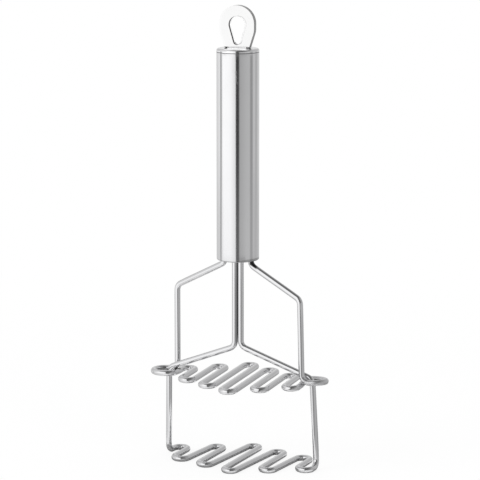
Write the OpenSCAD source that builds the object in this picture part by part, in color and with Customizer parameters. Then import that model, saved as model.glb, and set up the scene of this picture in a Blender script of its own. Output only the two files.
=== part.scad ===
// Double potato masher: a wire grid fixed to the handle, and a sprung one that slides up under it.
// Millimetres. Z runs up the handle, X along the rows of bends, and the lower grid stands on Z = 0.

/* [Wires] */
// Diameter of both masher wires
wire_d = 3.4; // [3:0.1:3.6]
// Radius of the bends at the neck, the arms and the feet
bend_r = 4.5; // [4.2:0.1:5]

/* [Upper grid] */
// Pitch of the upper grid's straight runs
upper_pitch = 7.75; // [7.4:0.05:8.1]
// Reach of the bends at the two ends of the upper grid
upper_reach_end = 15.2; // [13:0.1:18]
// Reach of the bends between end and middle
upper_reach_mid = 24.6; // [20:0.1:27]
// Reach of the two middle bends of the upper grid
upper_reach_centre = 34.2; // [30:0.1:38]
// Sideways set of the upper grid from the handle's axis
upper_shift = 0.7; // [0:0.1:0.9]
// Gap left between the two grids when the lower one is pushed all the way up
closed_gap = 1.6; // [1.2:0.1:4]

/* [Eyes] */
// Length of the right eye loop along X, from the grid's last run to its outer end
eye_len_right = 13.9; // [13.4:0.1:17]
// Length of the left eye loop along X, from the grid's first run to its outer end
eye_len_left = 13.6; // [13.2:0.1:17]
// Width of the right eye loop along Y, between wire centres
eye_width_right = 12; // [11.4:0.1:13]
// Width of the left eye loop along Y, between wire centres
eye_width_left = 13.4; // [11.8:0.1:13.8]
// Distance of the eye's upright side from the middle plane
eye_side_y = 7; // [6.6:0.1:7.4]
// Climb of the wire from the grid to the right eye loop
eye_rise_right = 1.7; // [1.6:0.1:2.2]
// Climb of the wire from the grid to the left eye loop
eye_rise_left = 1; // [0.9:0.1:2.2]
// Radius of the corner where the last run turns into the eye
eye_corner_r = 4.6; // [4:0.1:5.2]

/* [Upper frame] */
// How far outside a centred upper grid's end runs the uprights are at the shoulders
upright_out = 0.55; // [0.4:0.05:1.2]
// How much further out the right upright stands at its foot
upright_splay_right = 0.9; // [0.7:0.1:1.5]
// How much further out the left upright stands at its foot
upright_splay_left = 0.3; // [0.2:0.1:1]
// Height of the right shoulder's outer corner above the upper grid
shoulder_low = 49.2; // [47:0.1:53]
// Height of the right shoulder's inner corner above the upper grid
shoulder_high = 66; // [64:0.1:72]
// How much higher the left shoulder's outer corner sits than the right one's
low_lift_left = 1.2; // [0:0.1:1.5]
// How much higher the left shoulder's inner corner sits than the right one's
high_lift_left = 0.6; // [0:0.1:0.9]
// Drop from the handle's lower end to the shoulder's inner corner
neck_drop = 2.9; // [2.7:0.1:6]
// Distance of the fixed wire ends from the handle's axis
anchor_x = 7.7; // [7.5:0.1:7.9]

/* [Lower grid] */
// Pitch of the lower grid's straight runs
lower_pitch = 9.35; // [8.8:0.05:9.5]
// Reach of the bends at the two ends of the lower grid
lower_reach_end = 12.8; // [12.4:0.1:15]
// Reach of the bends between end and middle
lower_reach_mid = 20.4; // [18:0.1:24]
// Reach of the two middle bends of the lower grid
lower_reach_centre = 28.4; // [25:0.1:32]
// Lean from Y of the lower grid's first run and of every second run after it, in degrees
lower_lean_even = 9; // [5:0.1:9.4]
// Lean from Y of the runs between those, in degrees
lower_lean_odd = 4.3; // [3:0.1:7]
// Sideways set of the lower grid from the handle's axis
lower_shift = 2.5; // [0:0.1:2.8]

/* [Sliding frame] */
// Distance of the side rods from the middle where they pass the eyes
rod_x = 44.1; // [43.6:0.1:44.6]
// Sideways set of the side rods where they pass the eyes
rod_shift = 1.3; // [0:0.1:1.6]
// Distance of the side rods from the middle plane
rod_y = 2.5; // [2:0.1:3]
// How far inside the line of the lower grid's last run the right side rod's foot stands
foot_in_right = 0.75; // [0:0.05:1]
// How far inside the line of the lower grid's first run the left side rod's foot stands
foot_in_left = 0.55; // [0:0.05:1]
// Height of the right arm's outer corner above the upper grid
arm_low = 3.3; // [3:0.1:4.5]
// How much lower the left arm sits than the right one
arm_drop_left = 0.6; // [0:0.1:0.7]
// Height of the arm's inner corner above its outer corner
arm_climb = 15.5; // [13:0.1:17]
// Gap between the two centre rods
rod_gap = 0.18; // [0.1:0.01:0.6]

/* [Handle] */
// Outer diameter of the handle tube
handle_d = 24; // [23.8:0.1:26]
// Wall of the handle tube
handle_wall = 1; // [0.8:0.05:1.1]
// Length of the handle tube
handle_len = 117.6; // [110:0.1:140]
// Rounding of the tube's lower edge
handle_round = 0.8; // [0.3:0.1:0.9]
// Rounding of the edges on both sides of the joint between tube and cap
joint_round = 0.25; // [0.1:0.05:0.3]

/* [End cap] */
// Height of the cap that shows above the tube
cap_lip = 2.2; // [2:0.1:3]
// Rounding of the cap's top edge
cap_round = 1.7; // [0.8:0.1:1.7]
// Whole thickness of the cap's disc
cap_thick = 4; // [3:0.1:4.6]
// Length of the cap's skirt inside the tube
skirt_len = 8; // [6:0.1:12]
// Wall of the cap's skirt
skirt_wall = 1.8; // [1:0.1:2.2]
// Length of the cap's slot along X
slot_len = 13.9; // [12.4:0.1:14]

/* [Hanging loop] */
// Thickness of the loop
loop_thick = 4; // [3:0.1:4.6]
// Radius of the loop's rounded top
loop_r = 10.2; // [9.4:0.1:11]
// Length of the straight sides under the rounded top
loop_side = 2.7; // [1:0.1:4]
// Height of the loop above the cap
loop_height = 23.8; // [23.2:0.1:28]
// Half width of the loop where it meets the cap
loop_foot = 7.2; // [7:0.1:7.8]
// Radius of the hole's rounded top
hole_r = 4.75; // [4.3:0.05:5]
// Depth of the hole's top below the loop's top
hole_drop = 6.05; // [5.6:0.05:6.6]
// Radius of the hole's narrow lower end
hole_low_r = 2.2; // [1.4:0.1:2.6]
// Distance between the centres of the hole's two ends
hole_len = 9; // [8.2:0.1:9.4]
// Width over the two legs inside the cap's slot
leg_span = 11.4; // [10.8:0.1:12]
// Width of the gap between the legs
leg_gap = 4; // [3:0.1:5]
// Length of the legs below the cap's top
leg_len = 8.4; // [7:0.1:9.4]
// Barb that holds each leg under the cap
barb = 1; // [0.8:0.1:1.2]

/* [Slide] */
// Travel of the sliding frame
travel = 42; // [41.5:0.1:46]
// Thickness of the steel disc at the handle's lower end
bottom_thick = 1.5; // [1:0.1:2.5]
// Setback of that disc from the tube's end
bottom_recess = 0.6; // [0.2:0.1:1.5]
// Length of the guide bush
bush_len = 12; // [10:0.1:16]
// Diameter of the collars on the fixed wire ends
collar_d = 5.2; // [4.8:0.1:5.4]
// Length of those collars
collar_len = 4; // [3:0.1:5]
// Length of the slider
slider_len = 12; // [10:0.1:15]
// Floor of the slider under the ferrule
slider_floor = 4; // [3:0.1:6]
// Diameter of the ferrule on the centre rods
ferrule_d = 12; // [10:0.1:13]
// Thickness of the washer under the spring
washer_thick = 1; // [0.6:0.1:1.6]
// Hole of that washer
washer_hole = 8; // [6:0.1:9]
// Thickness of the stop above the spring
stop_thick = 3; // [2:0.1:5]

/* [Spring] */
// Diameter of the spring wire
spring_wire = 1.4; // [1:0.1:1.5]
// Mean diameter of the spring
spring_d = 16; // [14:0.1:17]
// Turns of the spring, closed ends included
spring_turns = 18; // [14:1:20]

/* [Clearances] */
// Gap around pieces that are pressed together
press_gap = 0.05; // [0.03:0.01:0.06]
// Gap around pieces that slide
slide_gap = 0.1; // [0.05:0.01:0.12]
// Gap between pieces that only come near each other
rest_gap = 0.3; // [0.2:0.05:0.4]

/* [Hidden] */
$fn = 64;

steel = [0.80, 0.80, 0.81];
satin = [0.72, 0.72, 0.73];
clear_plastic = [0.93, 0.95, 0.96, 0.45];
white_plastic = [0.90, 0.90, 0.88];
grey_plastic = [0.45, 0.46, 0.47];
spring_steel = [0.55, 0.56, 0.58];

// Bends of a grid, from left to right: five at the back and five at the front, alternating
BENDS = 10;

wire_r = wire_d / 2;
centre_rod_x = wire_r + rod_gap / 2;
lower_z = wire_r;
upper_z = lower_z + travel + wire_d + closed_gap;
upright_x = BENDS / 2 * upper_pitch + upright_out;
shoulder_in_z = upper_z + shoulder_high;
shoulder_out_z = upper_z + shoulder_low;
handle_z = shoulder_in_z + neck_drop;
handle_top_z = handle_z + handle_len;
handle_r = handle_d / 2;
bore_r = handle_r - handle_wall;
insert_r = bore_r - press_gap;

arm_out_z = upper_z + arm_low;
arm_in_z = arm_out_z + arm_climb;

disc_z = handle_z + bottom_recess;
bush_z = disc_z + bottom_thick;
bush_top_z = bush_z + bush_len;
slider_z = bush_top_z + rest_gap;
slider_top_z = slider_z + slider_len;
ferrule_z = slider_z + slider_floor;
collar_top_z = bush_top_z - rest_gap;
stop_top_z = handle_top_z - skirt_len;
stop_z = stop_top_z - stop_thick;
spring_z = slider_top_z + washer_thick;
spring_len = stop_z - spring_z;

cap_top_z = handle_top_z + cap_lip;
cap_floor_z = cap_top_z - cap_thick;
loop_top_z = cap_top_z + loop_height;

// Sides of a masher wire, the angle between its rings in a bend, and the least distance between two rings
WIRE_SIDES = 12;
BEND_STEP = 15;
LEAST_STEP = 0.01;
// Rings in one turn of the spring, and sides of its wire
SPRING_RINGS = 8;
SPRING_SIDES = 6;
// Share of a turn over which the spring's closed ends run flat
FLAT_TURNS = 1;
// Rise of such a turn, as a share of the wire's diameter
FLAT_RISE = 1.02;
// Loop foot's height above the cap, and the bevel of the barbs
FOOT_GAP = 0.1;
BARB_LEN = 2.4;
// How far inside a round end its straight flanks start
TANGENT_INSET = 0.02;
// How far a cut runs past the face that it opens
CUT = 1;

open_len = spring_len - spring_wire - 2 * FLAT_TURNS * FLAT_RISE * spring_wire;
open_turns = spring_turns - 2 * FLAT_TURNS;
echo(str("least gap between the spring's turns: ", open_len / open_turns - spring_wire));

function unit(v) = v / norm(v);

// Point p seen from the other end of the masher, half a turn about Z
function turned(p) = [-p[0], -p[1], p[2]];

function reversed(list) = [for (i = [len(list) - 1:-1:0]) list[i]];

// Half the angle between the two runs that meet at corner i
function half_angle(p, i) = acos(unit(p[i - 1] - p[i]) * unit(p[i + 1] - p[i])) / 2;

// Stations of the wire's middle line through the bend at corner i of path p, each a point and its direction
function bend_stations(p, r, i) =
    let (
        back = unit(p[i - 1] - p[i]),
        ahead = unit(p[i + 1] - p[i]),
        half = half_angle(p, i),
        centre = p[i] + unit(back + ahead) * r[i] / sin(half),
        out = unit(p[i] + back * r[i] / tan(half) - centre),
        steps = ceil((180 - 2 * half) / BEND_STEP)
    )
    [
        for (k = [0:steps])
            let (a = (180 - 2 * half) * k / steps)
            [centre + r[i] * (out * cos(a) - back * sin(a)), -out * sin(a) - back * cos(a)]
    ];

// Stations of the whole middle line along the corners p, with the bend radii r
function wire_stations(p, r) =
    let (
        last = len(p) - 1,
        all = concat(
            [[p[0], unit(p[1] - p[0])]],
            [for (i = [1:last - 1]) each bend_stations(p, r, i)],
            [[p[last], unit(p[last] - p[last - 1])]]
        )
    )
    [for (i = [0:len(all) - 1]) if (i == 0 || norm(all[i][0] - all[i - 1][0]) > LEAST_STEP) all[i]];

// Side direction v made square to the wire's direction
function squared(v, along) = unit(v - along * (v * along));

// Side direction at each of the stations, carried along from the first, where it is up
function carried(stations) = [
    for (
        i = 0, v = squared([0, 0, 1], stations[0][1]);
        i < len(stations);
        i = i + 1, v = i < len(stations) ? squared(v, stations[i][1]) : v
    )
        v
];

// Side directions of all stations, carried both ways from the middle one
function side_directions(stations) =
    let (
        last = len(stations) - 1,
        middle = floor(last / 2),
        before = carried([for (i = [middle:-1:0]) stations[i]]),
        after = carried([for (i = [middle:last]) stations[i]])
    )
    concat(reversed(before), [for (i = [1:len(after) - 1]) after[i]]);

// Faces of a tube of the given number of rings and sides, closed at both ends
function tube_faces(rings, sides) =
    let (last = (rings - 1) * sides)
    concat(
        [
            for (ring = [0:rings - 2], side = [0:sides - 1])
                let (a = ring * sides + side, b = ring * sides + (side + 1) % sides)
                each [[a, a + sides, b + sides], [a, b + sides, b]]
        ],
        [for (side = [1:sides - 2]) [0, side, side + 1]],
        [for (side = [1:sides - 2]) [last, last + side + 1, last + side]]
    );

// A wire along the corners p, with the bend radii r
module bent_wire(p, r) {
    stations = wire_stations(p, r);
    sides = side_directions(stations);
    points = [
        for (i = [0:len(stations) - 1], k = [0:WIRE_SIDES - 1])
            let (a = k * 360 / WIRE_SIDES)
            stations[i][0] + wire_r * (sides[i] * cos(a) + cross(sides[i], stations[i][1]) * sin(a))
    ];
    polyhedron(points = points, faces = tube_faces(len(stations), WIRE_SIDES));
}

// Corners of a grid: run i crosses Y = 0 at (i - 5) * pitch + shift, and bend i joins runs i and i + 1.
// Runs 0, 2, 4 and so on lean by lean_even, and the others by lean_odd.
function grid_corners(pitch, reach, lean_even, lean_odd, shift, z) = [
    for (i = [0:BENDS - 1], side = [0, 1])
        let (
            y = (i % 2 == 0 ? 1 : -1) * reach[i],
            lean = (i + side) % 2 == 0 ? lean_even : lean_odd
        )
        [(i + side - BENDS / 2) * pitch + y * tan(lean) + shift, y, z]
];

// Radii at a grid's corners, which start at corner first of path p: each two corners share one full bend
function grid_radii(p, first) = [
    for (i = [first:2:first + 2 * BENDS - 2])
        let (r = norm(p[i + 1] - p[i]) / (1 / tan(half_angle(p, i)) + 1 / tan(half_angle(p, i + 1))))
        each [r, r]
];

// Reach of the bends from left to right, which is the same from both ends
function reaches(end, mid, centre) = [end, end, mid, mid, centre, centre, mid, mid, end, end];

// From the grid's last bend through the eye and up to the handle
function upper_side(eye_len, eye_width, eye_rise, shift, splay, low_lift, high_lift) =
    let (
        run_x = BENDS / 2 * upper_pitch + shift,
        far_y = eye_width - eye_side_y,
        eye_z = upper_z + eye_rise
    )
    [
        [run_x, rest_gap - far_y, upper_z],
        [run_x, far_y, eye_z],
        [run_x + eye_len, far_y, eye_z],
        [run_x + eye_len, -eye_side_y, eye_z],
        [upright_x + splay, -eye_side_y, eye_z],
        [upright_x, -eye_side_y, shoulder_out_z + low_lift],
        [anchor_x, 0, shoulder_in_z + high_lift],
        [anchor_x, 0, collar_top_z]
    ];
function upper_side_r(eye_width) = [
    bend_r, eye_corner_r, eye_width / 2, eye_width / 2, bend_r, bend_r, bend_r, 0
];
upper_reaches = reaches(upper_reach_end, upper_reach_mid, upper_reach_centre);
upper_grid = grid_corners(upper_pitch, upper_reaches, 0, 0, upper_shift, upper_z);

// From the lower grid's last bend up the side rod, along the arm and up the centre rod
function lower_side(foot_in, shift, rod_set, drop) = [
    [BENDS / 2 * lower_pitch - rod_y * tan(lower_lean_even) + shift - foot_in, -rod_y, lower_z],
    [rod_x + rod_set, -rod_y, arm_out_z - drop],
    [centre_rod_x, 0, arm_in_z - drop],
    [centre_rod_x, 0, slider_top_z - rest_gap]
];
lower_side_r = [bend_r, bend_r, bend_r, 0];
lower_reaches = reaches(lower_reach_end, lower_reach_mid, lower_reach_centre);
lower_grid = grid_corners(
    lower_pitch, lower_reaches, lower_lean_even, lower_lean_odd, lower_shift, lower_z
);

// Round outer edge of a ring: a quarter circle of radius r that ends at r_out and z_end, pointing up or down
module ring_edge(r_in, r_out, r, z_end, up) {
    translate([r_in, z_end - up * r - (up > 0 ? 0 : r)])
        square([r_out - r_in - r, r]);
    translate([r_out - r, z_end - up * r])
        intersection() {
            circle(r = r);
            translate([-min(r, r_out - r_in - r), up > 0 ? 0 : -r])
                square([r + min(r, r_out - r_in - r), r]);
        }
}

// Disc or ring with rounded outer edges: round_low at the bottom, round_high at the top
module rounded_ring(r_in, r_out, z_low, z_high, round_low = 0, round_high = 0) {
    rotate_extrude() {
        translate([r_in, z_low + round_low])
            square([r_out - r_in, z_high - z_low - round_low - round_high]);
        if (round_low > 0) ring_edge(r_in, r_out, round_low, z_low, -1);
        if (round_high > 0) ring_edge(r_in, r_out, round_high, z_high, 1);
    }
}

// Round hole along Z
module hole(x, r, z_low, z_high) {
    translate([x, 0, z_low])
        cylinder(h = z_high - z_low, r = r);
}

module handle_tube() {
    color(satin)
        rounded_ring(bore_r, handle_r, handle_z, handle_top_z, handle_round, joint_round);
}

module end_cap() {
    color(steel)
        difference() {
            union() {
                rounded_ring(0, handle_r, handle_top_z, cap_top_z, joint_round, cap_round);
                rounded_ring(0, insert_r, handle_top_z - skirt_len, handle_top_z + joint_round);
            }
            hole(0, insert_r - skirt_wall, handle_top_z - skirt_len - CUT, cap_floor_z);
            translate([-slot_len / 2, -loop_thick / 2 - slide_gap, cap_floor_z - CUT])
                cube([slot_len, loop_thick + 2 * slide_gap, cap_thick + 2 * CUT]);
        }
}

// Point where the line from a foot corner meets the loop's lower rounding, a hair inside it
function loop_tangent(centre_z, foot_x, foot_z) =
    let (
        r = loop_r - TANGENT_INSET,
        d = norm([foot_x, foot_z - centre_z]),
        a = atan2(foot_z - centre_z, foot_x) + acos(r / d)
    )
    [r * cos(a), centre_z + r * sin(a)];

// Flat plate of the given thickness, drawn in X and Z and centred on Y = 0
module plate(thick) {
    translate([0, thick / 2, 0])
        rotate([90, 0, 0])
            linear_extrude(thick)
                children();
}

// Round plate
module round_plate(z, r, thick) {
    plate(thick)
        translate([0, z])
            circle(r = r);
}

// Teardrop hole with a round end of radius r_top at z_top and one of radius r_low at z_low
module teardrop_hole(r_top, z_top, r_low, z_low, thick) {
    tilt = asin((r_top - r_low) / (z_top - z_low));
    high = r_top - TANGENT_INSET;
    low = r_low - TANGENT_INSET;
    round_plate(z_top, r_top, thick);
    round_plate(z_low, r_low, thick);
    plate(thick)
        polygon([
            [high * cos(tilt), z_top - high * sin(tilt)],
            [-high * cos(tilt), z_top - high * sin(tilt)],
            [-low * cos(tilt), z_low - low * sin(tilt)],
            [low * cos(tilt), z_low - low * sin(tilt)]
        ]);
}

// Right-hand edge of the loop from the middle of its round top down to the tip of the leg
function loop_edge(centre_z, foot_z, barb_z) = [
    [loop_r - TANGENT_INSET, centre_z],
    [loop_r - TANGENT_INSET, centre_z - loop_side],
    loop_tangent(centre_z - loop_side, loop_foot, foot_z),
    [loop_foot, foot_z],
    [leg_span / 2, foot_z],
    [leg_span / 2, barb_z],
    [slot_len / 2 + barb / 2, barb_z],
    [leg_span / 2, barb_z - BARB_LEN],
    [leg_span / 2, cap_top_z - leg_len]
];

module loop_plate() {
    centre_z = loop_top_z - loop_r;
    edge = loop_edge(centre_z, cap_top_z + FOOT_GAP, cap_floor_z - press_gap);
    round_plate(centre_z, loop_r, loop_thick);
    round_plate(centre_z - loop_side, loop_r, loop_thick);
    plate(loop_thick)
        polygon(concat(edge, reversed([for (p = edge) [-p[0], p[1]]])));
}

module hanging_loop() {
    top_z = loop_top_z - hole_drop - hole_r;
    color(clear_plastic)
        difference() {
            loop_plate();
            teardrop_hole(hole_r, top_z, hole_low_r, top_z - hole_len, loop_thick + 2 * CUT);
            plate(loop_thick + 2 * CUT)
                translate([-leg_gap / 2, cap_top_z - leg_len - CUT])
                    square([leg_gap, leg_len]);
        }
}

module spring_stop() {
    color(white_plastic)
        rounded_ring(0, insert_r, stop_z, stop_top_z);
}

// Height of the spring's wire centre after the given number of turns
function spring_height(turns) =
    let (
        flat = FLAT_RISE * spring_wire,
        low = spring_wire / 2,
        t = turns - FLAT_TURNS
    )
    t < 0 ? low + turns * flat
    : t > open_turns ? low + FLAT_TURNS * flat + open_len + (t - open_turns) * flat
    : low + FLAT_TURNS * flat + open_len * t / open_turns;

module return_spring() {
    rings = spring_turns * SPRING_RINGS;
    points = [
        for (ring = [0:rings], side = [0:SPRING_SIDES - 1])
            let (
                turn = ring * 360 / SPRING_RINGS,
                around = (side + 0.5) * 360 / SPRING_SIDES,
                out = spring_d / 2 + spring_wire / 2 * cos(around),
                up = spring_wire / 2 * cos(180 / SPRING_SIDES) * sin(around)
            )
            [out * cos(turn), out * sin(turn), spring_z + spring_height(ring / SPRING_RINGS) + up]
    ];
    color(spring_steel)
        polyhedron(points = points, faces = tube_faces(rings + 1, SPRING_SIDES));
}

module spring_washer() {
    color(steel)
        rounded_ring(washer_hole / 2, bore_r - rest_gap, slider_top_z, spring_z);
}

// Slot with round ends for both centre rods
module rod_slot(r, z_low, z_high) {
    for (side = [-1, 1])
        hole(side * centre_rod_x, r, z_low, z_high);
    translate([-centre_rod_x, -r + TANGENT_INSET, z_low])
        cube([2 * centre_rod_x, 2 * r - 2 * TANGENT_INSET, z_high - z_low]);
}

module rod_ferrule() {
    color(steel)
        difference() {
            rounded_ring(0, ferrule_d / 2, ferrule_z, slider_top_z);
            rod_slot(wire_r + press_gap, ferrule_z - CUT, slider_top_z + CUT);
        }
}

module slider() {
    color(white_plastic)
        difference() {
            rounded_ring(0, bore_r - slide_gap, slider_z, slider_top_z);
            hole(0, ferrule_d / 2 + press_gap, ferrule_z, slider_top_z + CUT);
            rod_slot(wire_r + press_gap, slider_z - CUT, slider_top_z);
        }
}

module guide_bush() {
    color(grey_plastic)
        difference() {
            rounded_ring(0, insert_r, bush_z, bush_top_z);
            rod_slot(wire_r + slide_gap, bush_z - CUT, bush_top_z + CUT);
            for (side = [-1, 1]) {
                hole(side * anchor_x, wire_r + press_gap, bush_z - CUT, bush_top_z + CUT);
                hole(side * anchor_x, collar_d / 2 + press_gap, collar_top_z - collar_len, bush_top_z + CUT);
            }
        }
}

module bottom_disc() {
    color(steel)
        difference() {
            rounded_ring(0, insert_r, disc_z, bush_z);
            rod_slot(wire_r + slide_gap, disc_z - CUT, bush_z + CUT);
            for (side = [-1, 1])
                hole(side * anchor_x, wire_r + press_gap, disc_z - CUT, bush_z + CUT);
        }
}

module anchor_collar(side) {
    color(steel)
        difference() {
            translate([side * anchor_x, 0, collar_top_z - collar_len])
                cylinder(h = collar_len, r = collar_d / 2);
            hole(side * anchor_x, wire_r + press_gap, collar_top_z - collar_len - CUT, collar_top_z + CUT);
        }
}

module anchor_collar_left() {
    anchor_collar(-1);
}

module anchor_collar_right() {
    anchor_collar(1);
}

module upper_masher() {
    right = upper_side(
        eye_len_right, eye_width_right, eye_rise_right, upper_shift, upright_splay_right, 0, 0
    );
    left = upper_side(
        eye_len_left, eye_width_left, eye_rise_left, -upper_shift, upright_splay_left,
        low_lift_left, high_lift_left
    );
    path = concat(reversed([for (p = left) turned(p)]), upper_grid, right);
    color(steel)
        bent_wire(
            path,
            concat(
                reversed(upper_side_r(eye_width_left)),
                grid_radii(path, len(left)),
                upper_side_r(eye_width_right)
            )
        );
}

module lower_masher() {
    right = lower_side(foot_in_right, lower_shift, rod_shift, 0);
    left = lower_side(foot_in_left, -lower_shift, -rod_shift, arm_drop_left);
    path = concat(reversed([for (p = left) turned(p)]), lower_grid, right);
    color(steel)
        bent_wire(path, concat(reversed(lower_side_r), grid_radii(path, len(left)), lower_side_r));
}

handle_tube();
end_cap();
hanging_loop();
spring_stop();
return_spring();
spring_washer();
rod_ferrule();
slider();
guide_bush();
bottom_disc();
anchor_collar_left();
anchor_collar_right();
upper_masher();
lower_masher();
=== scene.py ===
"""Looks of the double potato masher: smooth bent wires, a satin tube with its crown cap, and a clear loop.

Sizes are the real ones, in millimetres, and the mesh code turns them into metres. Z runs up the handle.
"""
import math

import bmesh
import bpy
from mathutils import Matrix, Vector
from mathutils.geometry import tessellate_polygon


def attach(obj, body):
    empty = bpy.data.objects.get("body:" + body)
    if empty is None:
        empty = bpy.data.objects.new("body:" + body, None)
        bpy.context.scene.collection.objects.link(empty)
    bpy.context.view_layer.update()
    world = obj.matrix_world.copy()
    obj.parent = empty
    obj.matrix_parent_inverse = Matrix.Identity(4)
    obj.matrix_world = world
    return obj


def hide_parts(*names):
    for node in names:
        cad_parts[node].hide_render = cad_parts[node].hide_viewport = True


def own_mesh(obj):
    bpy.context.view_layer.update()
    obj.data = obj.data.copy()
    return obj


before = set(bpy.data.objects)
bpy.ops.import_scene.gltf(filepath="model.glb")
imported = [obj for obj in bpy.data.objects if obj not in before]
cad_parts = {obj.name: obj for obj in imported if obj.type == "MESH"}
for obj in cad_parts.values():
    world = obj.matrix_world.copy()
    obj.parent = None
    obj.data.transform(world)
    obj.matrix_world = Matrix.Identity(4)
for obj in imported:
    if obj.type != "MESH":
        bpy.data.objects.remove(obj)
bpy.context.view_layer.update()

MM = 0.001
TAU = 2 * math.pi
# Places nearer to each other than this, in millimetres, count as the same
SAME = 0.01

# The wires. Left and right are as seen from the front, and heights are those of the wires' middle lines.
WIRE_R = 1.7
BEND_R = 4.5
LOWER_Z = 1.7
UPPER_Z = 48.7
EYE_Z_RIGHT = 50.4
EYE_Z_LEFT = 49.7
ARM_OUT_Z = 52.0
ARM_IN_Z = 67.5
SHOULDER_OUT_Z = 97.9
SHOULDER_IN_Z = 114.7
LOW_LIFT_LEFT = 1.2
HIGH_LIFT_LEFT = 0.6
ARM_DROP_LEFT = 0.6
COLLAR_TOP_Z = 131.4
ROD_TOP_Z = 143.7
BENDS = 10
UPPER_PITCH = 7.75
UPPER_SHIFT = 0.7
UPPER_LEAN = math.radians(-0.5)
UPPER_REACHES = (15.2, 15.2, 24.6, 24.6, 34.2, 34.2, 24.6, 24.6, 15.2, 15.2)
LOWER_PITCH = 9.35
LOWER_REACHES = (12.8, 12.8, 20.4, 20.4, 28.4, 28.4, 20.4, 20.4, 12.8, 12.8)
LOWER_LEAN_EVEN = math.radians(9.0)
LOWER_LEAN_ODD = math.radians(4.3)
LOWER_SHIFT = 2.5
LOWER_FOOT_LEFT = 43.3
LOWER_FOOT_RIGHT = 48.1
EYE_LEN_LEFT = 13.1
EYE_LEN_RIGHT = 13.6
EYE_WIDTH_LEFT = 13.4
EYE_WIDTH_RIGHT = 12.0
EYE_SIDE_Y = 7.0
EYE_RISE_LEFT = (0, 0)
EYE_RISE_RIGHT = (0.8, 0.1)
EYE_DRAW_LEFT = 0
EYE_DRAW_RIGHT = 1.0
EYE_CORNER_R = 4.6
UPRIGHT_X = 39.3
UPRIGHT_SPLAY_LEFT = 0.0
UPRIGHT_SPLAY_RIGHT = 1.2
ANCHOR_X = 7.7
ROD_X = 44.1
ROD_SHIFT = 1.3
ROD_Y = 2.5
CENTRE_ROD_X = 1.79

# Where the upper grid's outer runs start to rise to the eyes
EYE_RISE_START = 0.3

# A wire's mesh: sides round it, and the most turn and length between two rings
WIRE_SIDES = 24
BEND_STEP = math.radians(7.5)
RUN_STEP = 4.0

# How flat a bend is pressed on its outside, and the bevel at a wire's cut end
BEND_FLAT = 0.07
END_BEVEL = 0.3
END_TAPER = 0.8

# The handle
HANDLE_R = 12.0
BORE_R = 11.0
SKIRT_R = 10.95
SKIRT_BORE_R = 9.15
HANDLE_Z = 117.6
HANDLE_TOP_Z = 235.2
HANDLE_ROUND = 0.8
JOINT_ROUND = 0.25
CAP_TOP_Z = 237.4
CAP_ROUND = 1.3
CAP_DOME = 0.12
CAP_FLOOR_Z = 233.4
SKIRT_Z = 227.2
SLOT_LEN = 13.9
SLOT_WIDTH = 4.2
BORE_EDGE = 0.05
SEAM_HALF = 0.3
SLEEVE_SIDES = 160
SLEEVE_ROWS = 24
CROWN_SIDES = 128
CROWN_ROWS = 14
RIM_STEPS = 10
JOINT_STEPS = 6
CUT_BEYOND = 2.0

# The loop
LOOP_R = 10.2
LOOP_SIDE = 2.7
LOOP_THICK = 4.0
LOOP_TOP_Z = 261.19
LOOP_FOOT = 7.2
FOOT_Z = 237.5
LEG_X = 5.7
LEG_LOW_Z = 229.0
LEG_GAP = 2.0
LEG_GAP_TOP_Z = 236.4
BARB_Z = 233.35
BARB_X = 7.45
BARB_LEN = 2.4
HOLE_R = 4.75
HOLE_Z = 250.4
HOLE_LOW_R = 2.2
HOLE_LOW_Z = 241.4
LOOP_EDGE = 0.2
EDGE_STEPS = 6
FLANK_STEPS = 8
SIDE_STEPS = 8
TOP_STEPS = 60
HOLE_STEPS = 48
HOLE_LOW_STEPS = 20
# The row that parts the side walls, behind the middle by this share of the half thickness
WALL_ROW = 0.1
# Strips of the side walls with a material of their own. Each lies between two rows, counted from the front.
HOLE_WALL_STRIPS = range(3, 7)
LOOP_WALL_STRIPS = range(4, 11)

# The spring inside the handle, and how far the grid's slide shortens it
SPRING_FOOT_Z = 145.0
SPRING_TOP_Z = 224.2
SPRING_R = 8.0
SPRING_WIRE = 1.4
SPRING_TURNS = 18
CLOSED_RISE = 1.02
# The coil is drawn a little thinner than its wire, which keeps it clear of its seats and of itself
COIL_R = 0.97 * SPRING_WIRE / 2
COIL_SIDES = 12
COIL_STEPS = 24

# Material slots of the cap and of the loop, in the order of their materials
SEAM_FACES, CAP_SLOT_FACES = 1, 2
LOOP_FACES, LOOP_WALL_FACES, HOLE_WALL_FACES, SHOULDER_FACES = range(4)

# The camera as the photograph was taken. Its distance and target are in metres.
CAMERA_TURN = math.radians(19.32)
CAMERA_PITCH = math.radians(9.98)
CAMERA_DISTANCE = 1.4257
CAMERA_TARGET = (0.001133, 0.000397, 0.12858)
CAMERA_LENS = 189.28
CAMERA_SENSOR = 36.0

# Middle, half sizes and height of each eye's wire
RIGHT_EYE = ((46.2, -1.0), (6.8, 6.0), 50.6)
LEFT_EYE = ((-44.6, 0.3), (6.5, 6.7), 49.9)
# Where the left eye's run passes close to the upright's foot, and painted shade darkens the wire
LEFT_CROSSING = ((-38.9, 4.4), (2.2, 3.2), 51.2)

# Painted shade, as dark colour on the steel, and scuffed places. Each pair is where one starts and where it
# is full.
# Painted shade on the fixed wire at its right root, inside the eyes and at the left crossing
ROOT_SHADE_IN = (7.2, 7.8)
ROOT_SHADE_OUT = (12.8, 11)
ROOT_SHADE_ABOVE = (0.15, 0.8)
EYE_SHADE_RING = (1.05, 0.8)
EYE_SHADE_FADE = 0.4
LEFT_EYE_SHADE = 0.7
SCUFF_RING = (2.2, 1.8)
SCUFF_ABOVE = (4, 2)
# Painted shade between the two centre rods
ROD_SHADE_LEFT = (-1.3, -0.1)
ROD_SHADE_RIGHT = (0.7, 0.1)
ROD_SHADE_Z = (62, 72)
ROD_SHADE = 0.82
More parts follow.
